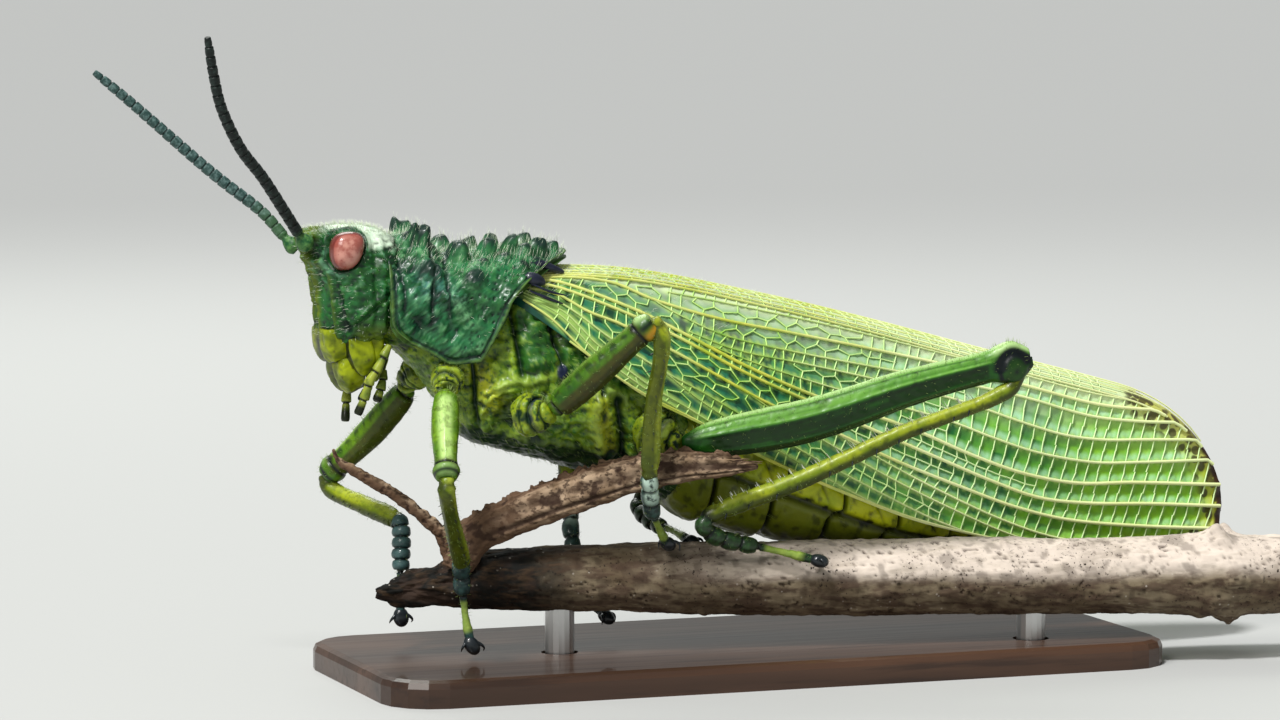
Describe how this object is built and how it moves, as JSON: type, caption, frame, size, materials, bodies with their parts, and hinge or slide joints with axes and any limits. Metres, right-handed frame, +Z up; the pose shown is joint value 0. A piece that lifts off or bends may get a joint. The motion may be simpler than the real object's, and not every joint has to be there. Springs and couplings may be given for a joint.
{
  "type": "grasshopper model",
  "caption": "Life-size display model of a green bush grasshopper with spiny shoulder shield and long veined wings, gripping a broken twig on a flat stand",
  "frame": {"origin": "centre of the underside of the stand's base, on the surface it stands on", "axes": "+Z up; the insect's head points to -X and its wing tips to +X, along the model's length; its left side faces -Y"},
  "size_m": [0.0933, 0.0262, 0.0482],
  "materials": {
    "head": "glossy wrinkled cuticle, dark green",
    "eye": "smooth semi-gloss, salmon pink",
    "mouth": "satin cuticle, olive yellow",
    "palp": "satin cuticle, yellow green with dark tips",
    "antenna": "matt black with fine knobs",
    "pronotum": "glossy pitted cuticle, dark teal green",
    "thorax": "satin wrinkled cuticle, lime green with dark sutures",
    "abdomen": "satin cuticle, yellow and olive",
    "forewing": "leathery veined membrane, green with pale veins",
    "coxa": "satin cuticle, yellow green",
    "femur": "satin cuticle, green",
    "tibia": "satin cuticle, olive yellow",
    "tarsus": "satin cuticle, blue black and green",
    "bark": "rough weathered bark",
    "stand_base": "satin dark wood",
    "stand_rod": "satin steel"
  },
  "bodies": {
    "root": {"abdomen": "abdomen", "antenna_left": "antenna", "antenna_right": "antenna", "coxa_left_front": "coxa", "coxa_left_hind": "coxa", "coxa_left_middle": "coxa", "coxa_right_front": "coxa", "coxa_right_hind": "coxa", "coxa_right_middle": "coxa", "eye_left": "eye", "eye_right": "eye", "femur_left_front": "femur", "femur_left_hind": "femur", "femur_left_middle": "femur", "femur_right_front": "femur", "femur_right_hind": "femur", "femur_right_middle": "femur", "forewing_left": "forewing", "forewing_right": "forewing", "head": "head", "labrum": "mouth", "mandibles": "mouth", "ovipositor_lower": "abdomen", "ovipositor_upper": "abdomen", "palp_labial_left": "palp", "palp_labial_right": "palp", "palp_maxillary_left": "palp", "palp_maxillary_right": "palp", "perch_sliver": "bark", "perch_splinter": "bark", "perch_twig": "bark", "pronotum": "pronotum", "prothorax": "thorax", "pterothorax": "thorax", "stand_base": "stand_base", "stand_rod_front": "stand_rod", "stand_rod_rear": "stand_rod", "tarsus_left_front": "tarsus", "tarsus_left_hind": "tarsus", "tarsus_left_middle": "tarsus", "tarsus_right_front": "tarsus", "tarsus_right_hind": "tarsus", "tarsus_right_middle": "tarsus", "tibia_left_front": "tibia", "tibia_left_hind": "tibia", "tibia_left_middle": "tibia", "tibia_right_front": "tibia", "tibia_right_hind": "tibia", "tibia_right_middle": "tibia"}
  },
  "joints": []
}
